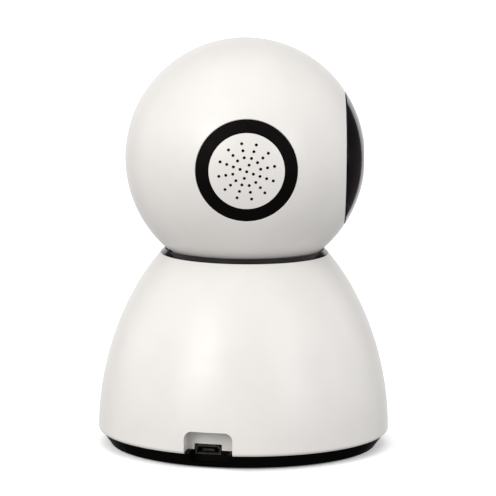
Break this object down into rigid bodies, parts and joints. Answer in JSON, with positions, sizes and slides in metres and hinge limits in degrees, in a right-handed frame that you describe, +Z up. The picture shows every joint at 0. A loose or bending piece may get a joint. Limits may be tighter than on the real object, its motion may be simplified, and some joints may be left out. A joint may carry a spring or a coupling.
{
  "type": "baby monitor camera",
  "caption": "Round pan-and-tilt camera head with speaker ears and a dark face, seated in a white domed base with a power inlet.",
  "frame": {"origin": "centre of the base on the surface it stands on", "axes": "+Z up along the pan axis; the head looks along -Y at rest and tilts about X; the power inlet faces 14.5 degrees from -X towards +Y"},
  "size_m": [0.09, 0.09, 0.1259],
  "materials": {
    "white_shell": "satin moulded white ABS with a very fine spark texture",
    "black_gloss": "polished black ABS",
    "smoked_visor": "polished smoked polycarbonate, nearly black, lets infrared through",
    "lens_glass": "coated optical glass",
    "black_cover": "satin black ABS",
    "black_inner": "plain black moulding",
    "rubber_black": "matt rubber",
    "steel_screws": "zinc-plated steel",
    "motor_steel": "plated sheet steel",
    "connector_steel": "bright nickel-plated steel",
    "connector_black": "plain black moulding",
    "brass_insert": "turned brass",
    "board_green": "glass-epoxy board with green solder mask",
    "gear_white": "natural acetal",
    "heatsink_aluminium": "plain aluminium",
    "lamp_clear": "clear epoxy lamps"
  },
  "bodies": {
    "base": {"base_shell": "white_shell", "bottom_cover": "black_cover", "rubber_feet": "rubber_black", "cover_screws": "steel_screws", "tripod_insert": "brass_insert", "collar_ring": "black_gloss", "power_board": "board_green", "power_board_parts": "connector_black", "board_screws": "steel_screws", "usb_socket_shell": "connector_steel", "usb_socket_tongue": "connector_black", "reset_switch": "connector_black", "deck_plate": "black_inner", "deck_screws": "steel_screws", "thrust_washer": "gear_white", "pan_motor": "motor_steel", "pan_motor_screws": "steel_screws"},
    "pan_drive": {"pan_pinion": "gear_white", "pan_motor_shaft": "steel_screws"},
    "reset_plunger": {"reset_button": "black_inner"},
    "turntable": {"turntable_disc": "black_inner", "pan_gear": "gear_white", "pan_retaining_ring": "steel_screws", "yoke_bracket": "black_inner", "yoke_screws": "steel_screws", "neck_cable": "rubber_black", "slot_shield": "black_inner", "tilt_motor": "motor_steel", "tilt_motor_screws": "steel_screws", "trunnion_washers": "steel_screws", "trunnion_screws": "steel_screws"},
    "tilt_drive": {"tilt_pinion": "gear_white", "tilt_motor_shaft": "steel_screws"},
    "head": {"head_shell_left": "white_shell", "head_shell_right": "white_shell", "head_pins": "steel_screws", "ear_ring_left": "black_gloss", "ear_ring_right": "black_gloss", "grille_left": "white_shell", "grille_right": "white_shell", "speaker": "connector_black", "tilt_gear": "gear_white", "visor": "smoked_visor", "lens_window": "lens_glass", "front_frame": "black_inner", "face_screws": "steel_screws", "main_board": "board_green", "main_board_screws": "steel_screws", "main_board_parts": "connector_black", "heatsink": "heatsink_aluminium", "antenna": "board_green", "lens_holder": "black_inner", "lens_barrel": "black_inner", "lens_elements": "lens_glass", "light_seal": "rubber_black", "ir_led_board": "board_green", "ir_leds": "lamp_clear", "face_sensors": "connector_black"},
    "filter_slide": {"ir_cut_filter": "black_inner", "filter_glasses": "lens_glass"}
  },
  "joints": [
    {"name": "pan", "type": "hinge", "parent": "base", "child": "turntable", "pos_m": [0, 0, 0.0475], "axis": [0, 0, 1], "range_deg": [-102, 253]},
    {"name": "pan_motor_turn", "type": "hinge", "parent": "base", "child": "pan_drive", "pos_m": [0.01125, -0.01949, 0.044], "axis": [0, 0, 1], "range_deg": [-1014, 410]},
    {"name": "tilt", "type": "hinge", "parent": "turntable", "child": "head", "pos_m": [0, 0, 0.089], "axis": [-1, 0, 0], "range_deg": [-14, 31]},
    {"name": "tilt_motor_turn", "type": "hinge", "parent": "turntable", "child": "tilt_drive", "pos_m": [0.0215, 0.01167, 0.07733], "axis": [-1, 0, 0], "range_deg": [-84, 39]},
    {"name": "reset_press", "type": "slide", "parent": "base", "child": "reset_plunger", "axis": [0, 0, 1], "range_m": [0, 0.0005], "stiffness_N_per_m": 400},
    {"name": "filter_switch", "type": "slide", "parent": "head", "child": "filter_slide", "axis": [1, 0, 0], "range_m": [-0.005, 0]}
  ],
  "couplings": [
    {"joint": "pan_motor_turn", "follows": "pan", "ratio": -4},
    {"joint": "tilt_motor_turn", "follows": "tilt", "ratio": -2.6667}
  ]
}
